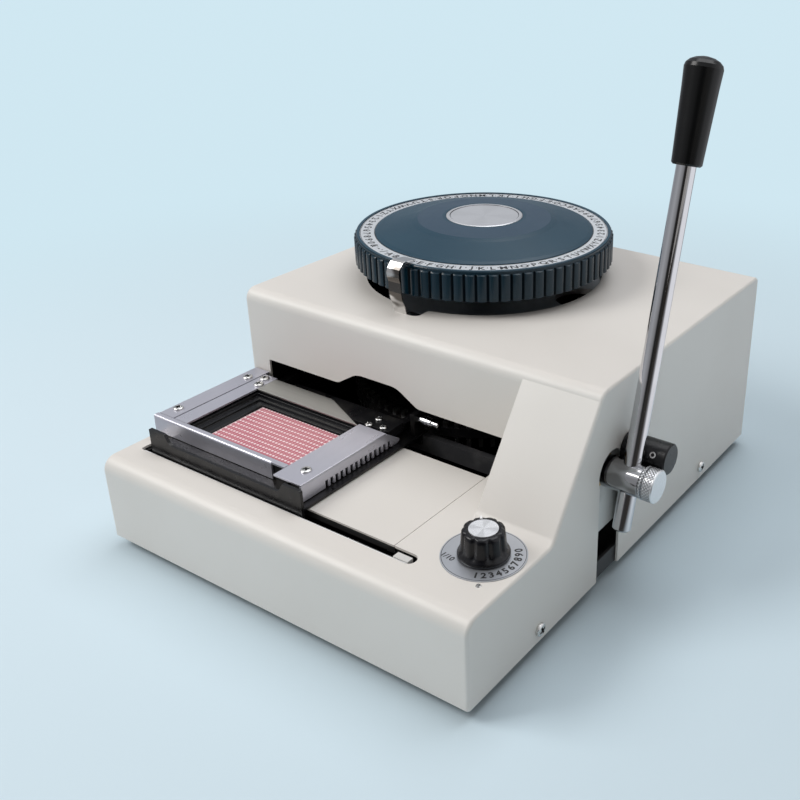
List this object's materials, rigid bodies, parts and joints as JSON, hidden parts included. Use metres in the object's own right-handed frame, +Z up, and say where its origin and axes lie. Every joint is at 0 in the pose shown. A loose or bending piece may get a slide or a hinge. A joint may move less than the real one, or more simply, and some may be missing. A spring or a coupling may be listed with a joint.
{
  "type": "plastic card embosser",
  "caption": "Hand-operated plastic card embosser: index dial over two type wheels, sliding card frame, and a side lever that closes the press.",
  "frame": {"origin": "middle of the whole outline, lever included, on the plane the four rubber feet rest on", "axes": "+Z up, -Y towards the operator, so the deck is at -Y, and the lever is on the +X side"},
  "size_m": [0.3132, 0.348, 0.3073],
  "materials": {
    "cover_paint": "warm light grey fine-textured paint",
    "deck_paint": "cream paint",
    "black_paint": "black satin paint",
    "black_oxide": "blackened steel",
    "bare_steel": "bare milled steel",
    "bright_chrome": "bright chrome plate",
    "satin_metal": "satin aluminium",
    "bronze": "sintered bronze",
    "dial_plastic": "dark teal moulded plastic",
    "black_plastic": "black moulded plastic",
    "white_nylon": "white nylon",
    "red_card": "red printed plastic card",
    "black_rubber": "black rubber",
    "spring_steel": "spring steel"
  },
  "bodies": {
    "chassis": {"cover": "cover_paint", "deck_plate": "deck_paint", "base_posts": "bare_steel", "base_plate": "black_paint", "rubber_feet": "black_rubber", "foot_screws": "bare_steel", "cover_screws": "bare_steel", "right_side_plate": "bare_steel", "left_side_plate": "black_oxide", "bearing_bridge": "bare_steel", "bushes": "bronze", "pointer": "bright_chrome", "column_rack": "bare_steel", "stop_block": "white_nylon", "guide_rod": "bright_chrome", "rail_supports": "black_oxide", "rear_rail": "black_oxide", "pivot_brackets": "black_oxide", "pivot_pins": "bare_steel", "lever_stop": "black_oxide", "label_disc": "satin_metal", "deck_fittings": "bare_steel"},
    "dial_and_wheels": {"dial": "dial_plastic", "index_ring": "satin_metal", "dial_badge": "satin_metal", "dial_shaft": "bare_steel", "upper_type_wheel": "black_oxide", "lower_type_wheel": "black_oxide", "punches": "bare_steel", "dies": "bare_steel"},
    "live_punch": {"live_punch": "bare_steel"},
    "live_die": {"live_die": "bare_steel"},
    "carriage": {"carriage_saddle": "black_oxide", "row_guides": "bare_steel", "slide_bushes": "black_oxide", "release_pin": "bright_chrome", "outer_strip": "bright_chrome", "front_angle": "bright_chrome", "strip_screws": "bare_steel"},
    "card_frame": {"card_seat": "black_plastic", "position_card": "red_card", "inner_bar": "bright_chrome", "comb_angle": "bright_chrome", "back_plate": "satin_metal", "bracket_plate": "black_oxide", "frame_screws": "bare_steel"},
    "upper_press_arm": {"upper_arm": "black_oxide", "upper_press_pins": "bare_steel", "return_spring": "spring_steel"},
    "lower_press_arm": {"lower_arm": "black_oxide", "lower_press_pins": "bare_steel"},
    "lever": {"cams": "bare_steel", "lever_shaft": "bare_steel", "lever_hub": "bright_chrome", "hub_cap": "bright_chrome", "lever_rod": "bright_chrome", "lever_grip": "black_plastic"},
    "pitch_selector": {"pitch_knob": "black_plastic", "knob_cap": "satin_metal", "knob_spindle": "bare_steel"}
  },
  "joints": [
    {"name": "dial_turn", "type": "hinge", "parent": "chassis", "child": "dial_and_wheels", "pos_m": [-0.0414, 0.0735, 0.108], "axis": [0, 0, 1], "continuous": true},
    {"name": "punch_stroke", "type": "slide", "parent": "dial_and_wheels", "child": "live_punch", "axis": [0, 0, -1], "range_m": [0, 0.0086]},
    {"name": "die_stroke", "type": "slide", "parent": "dial_and_wheels", "child": "live_die", "axis": [0, 0, 1], "range_m": [0, 0.0067]},
    {"name": "carriage_x", "type": "slide", "parent": "chassis", "child": "carriage", "axis": [1, 0, 0], "range_m": [0, 0.0675]},
    {"name": "carriage_y", "type": "slide", "parent": "carriage", "child": "card_frame", "axis": [0, 1, 0], "range_m": [0, 0.1035]},
    {"name": "lever_pull", "type": "hinge", "parent": "chassis", "child": "lever", "pos_m": [0.1384, -0.034, 0.0794], "axis": [1, 0, 0], "range_deg": [0, 60], "stiffness_Nm_per_rad": 2, "springref_deg": -28.65},
    {"name": "upper_arm_swing", "type": "hinge", "parent": "chassis", "child": "upper_press_arm", "pos_m": [-0.0414, 0.144, 0.114], "axis": [1, 0, 0], "range_deg": [0, 2.99], "deforming": ["return_spring"]},
    {"name": "lower_arm_swing", "type": "hinge", "parent": "chassis", "child": "lower_press_arm", "pos_m": [-0.0414, 0.144, 0.028], "axis": [-1, 0, 0], "range_deg": [0, 2.33]},
    {"name": "pitch_turn", "type": "hinge", "parent": "chassis", "child": "pitch_selector", "pos_m": [0.0992, -0.1231, 0.0635], "axis": [0, 0, 1], "range_deg": [0, 90]}
  ],
  "couplings": [
    {"joint": "punch_stroke", "follows": "lever_pull", "m_per_rad": 0.0081169},
    {"joint": "die_stroke", "follows": "lever_pull", "m_per_rad": 0.0063025},
    {"joint": "upper_arm_swing", "follows": "lever_pull", "ratio": 0.049515},
    {"joint": "lower_arm_swing", "follows": "lever_pull", "ratio": 0.03844}
  ]
}
